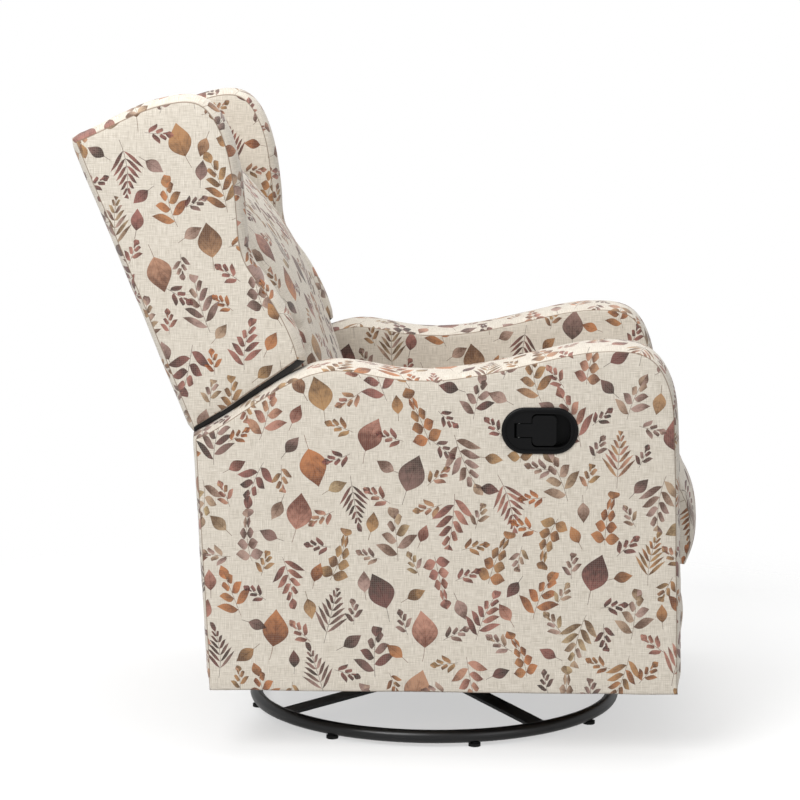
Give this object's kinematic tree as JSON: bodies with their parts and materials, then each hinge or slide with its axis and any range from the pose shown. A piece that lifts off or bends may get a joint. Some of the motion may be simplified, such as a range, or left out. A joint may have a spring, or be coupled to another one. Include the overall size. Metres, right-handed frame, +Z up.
{
  "type": "swivel glider recliner",
  "caption": "Upholstered wing-back recliner that swivels on a floor ring, glides on hanging links, leans back and opens a footrest.",
  "frame": {"origin": "where the swivel axis meets the floor", "axes": "+Z up along the swivel axis, the sitter faces -Y, +X is to the sitter's left"},
  "size_m": [0.746, 1.0026, 1.0568],
  "materials": {
    "frame_black": "black powder coat",
    "linkage": "black lacquer",
    "zinc": "zinc plated",
    "balls": "polished",
    "pads": "matte",
    "timber": "raw plywood",
    "cloth": "printed linen-look weave",
    "backing": "black dust cloth",
    "straps": "elastic webbing",
    "grip": "satin"
  },
  "bodies": {
    "base": {"base_ring": "frame_black", "base_cross": "frame_black", "floor_glides": "pads", "hub_plate": "frame_black", "hub_bolts": "zinc", "lower_race": "zinc", "bearing_balls": "balls", "spindle": "zinc"},
    "turntable": {"upper_race": "zinc", "carriage_plate": "linkage", "carriage_rail_left": "linkage", "carriage_rail_right": "linkage", "upper_glide_pins": "zinc"},
    "glide_front": {"glide_links_front": "linkage"},
    "glide_rear": {"glide_links_rear": "linkage"},
    "chassis": {"chassis_rail_left": "linkage", "chassis_rail_right": "linkage", "front_cross_tube": "linkage", "rear_cross_tube": "linkage", "back_uprights": "linkage", "chassis_pins": "zinc", "arm_frame_left": "timber", "arm_frame_right": "timber", "arm_upholstery_left": "cloth", "arm_upholstery_right": "cloth", "arm_dust_covers": "backing", "rear_panel": "cloth", "handle_bezel": "grip", "lever_pin": "zinc"},
    "lever": {"release_lever": "grip"},
    "seat_link_front": {"seat_links_front": "linkage"},
    "seat_link_rear": {"seat_links_rear": "linkage"},
    "seat": {"seat_plate_left": "linkage", "seat_plate_right": "linkage", "seat_plate_pins": "zinc", "seat_frame": "timber", "seat_webbing": "straps", "seat_cushion": "cloth"},
    "drive_link": {"footrest_drive_links": "linkage", "footrest_torque_tube": "linkage", "drive_link_pins": "zinc"},
    "tail_link": {"footrest_tail_links": "linkage", "tail_link_pins": "zinc"},
    "coupler": {"footrest_couplers": "linkage", "coupler_pins": "zinc"},
    "control_link": {"footrest_control_links": "linkage", "control_link_pins": "zinc"},
    "footrest": {"footrest_brackets": "linkage", "footrest_board": "timber", "footrest_cushion": "cloth"},
    "back": {"back_brackets": "linkage", "drive_pins": "zinc", "back_frame": "timber", "back_webbing": "straps", "back_cushion": "cloth", "back_outer_panel": "cloth", "wing_frames": "timber", "wing_left": "cloth", "wing_right": "cloth"}
  },
  "joints": [
    {"name": "swivel", "type": "hinge", "parent": "base", "child": "turntable", "pos_m": [0, 0, 0.058], "axis": [0, 0, 1], "continuous": true},
    {"name": "glide", "type": "hinge", "parent": "turntable", "child": "glide_front", "pos_m": [0, -0.13, 0.235], "axis": [1, 0, 0], "range_deg": [-14, 14]},
    {"name": "glide_level", "type": "hinge", "parent": "glide_front", "child": "chassis", "pos_m": [0, -0.13, 0.115], "axis": [1, 0, 0], "range_deg": [-14, 14]},
    {"name": "glide_rear_link", "type": "hinge", "parent": "turntable", "child": "glide_rear", "pos_m": [0, 0.13, 0.235], "axis": [1, 0, 0], "range_deg": [-14, 14]},
    {"name": "back_recline", "type": "hinge", "parent": "chassis", "child": "back", "pos_m": [0, 0.25, 0.4], "axis": [-1, 0, 0], "range_deg": [0, 35]},
    {"name": "seat_link_front_turn", "type": "hinge", "parent": "chassis", "child": "seat_link_front", "pos_m": [0, -0.15, 0.152], "axis": [1, 0, 0], "range_deg": [0, 35]},
    {"name": "seat_level", "type": "hinge", "parent": "seat_link_front", "child": "seat", "pos_m": [0, -0.11993, 0.24737], "axis": [1, 0, 0], "range_deg": [-35, 0]},
    {"name": "seat_link_rear_turn", "type": "hinge", "parent": "chassis", "child": "seat_link_rear", "pos_m": [0, 0.15, 0.152], "axis": [1, 0, 0], "range_deg": [0, 35]},
    {"name": "footrest_open", "type": "hinge", "parent": "seat", "child": "drive_link", "pos_m": [0, -0.234, 0.276], "axis": [-1, 0, 0], "range_deg": [0, 90]},
    {"name": "tail_link_turn", "type": "hinge", "parent": "seat", "child": "tail_link", "pos_m": [0, -0.292, 0.282], "axis": [-1, 0, 0], "range_deg": [0, 90]},
    {"name": "coupler_turn", "type": "hinge", "parent": "drive_link", "child": "coupler", "pos_m": [0, -0.19388, 0.12628], "axis": [-1, 0, 0], "range_deg": [-90, 0]},
    {"name": "control_link_turn", "type": "hinge", "parent": "tail_link", "child": "control_link", "pos_m": [0, -0.2436, 0.10137], "axis": [-1, 0, 0], "range_deg": [-90, 0]},
    {"name": "footrest_turn", "type": "hinge", "parent": "coupler", "child": "footrest", "pos_m": [0, -0.355, 0.225], "axis": [-1, 0, 0], "range_deg": [0, 90]},
    {"name": "lever_pull", "type": "hinge", "parent": "chassis", "child": "lever", "pos_m": [-0.366, -0.143, 0.532], "axis": [0, 0, -1], "range_deg": [0, 30], "stiffness_Nm_per_rad": 0.4}
  ],
  "couplings": [
    {"joint": "glide_level", "follows": "glide", "ratio": -1},
    {"joint": "glide_rear_link", "follows": "glide", "ratio": 1},
    {"joint": "seat_link_front_turn", "follows": "back_recline", "ratio": 1},
    {"joint": "seat_level", "follows": "back_recline", "ratio": -1},
    {"joint": "seat_link_rear_turn", "follows": "back_recline", "ratio": 1},
    {"joint": "tail_link_turn", "follows": "footrest_open", "ratio": 1},
    {"joint": "coupler_turn", "follows": "footrest_open", "ratio": -1},
    {"joint": "control_link_turn", "follows": "footrest_open", "ratio": -1},
    {"joint": "footrest_turn", "follows": "footrest_open", "ratio": 1}
  ]
}
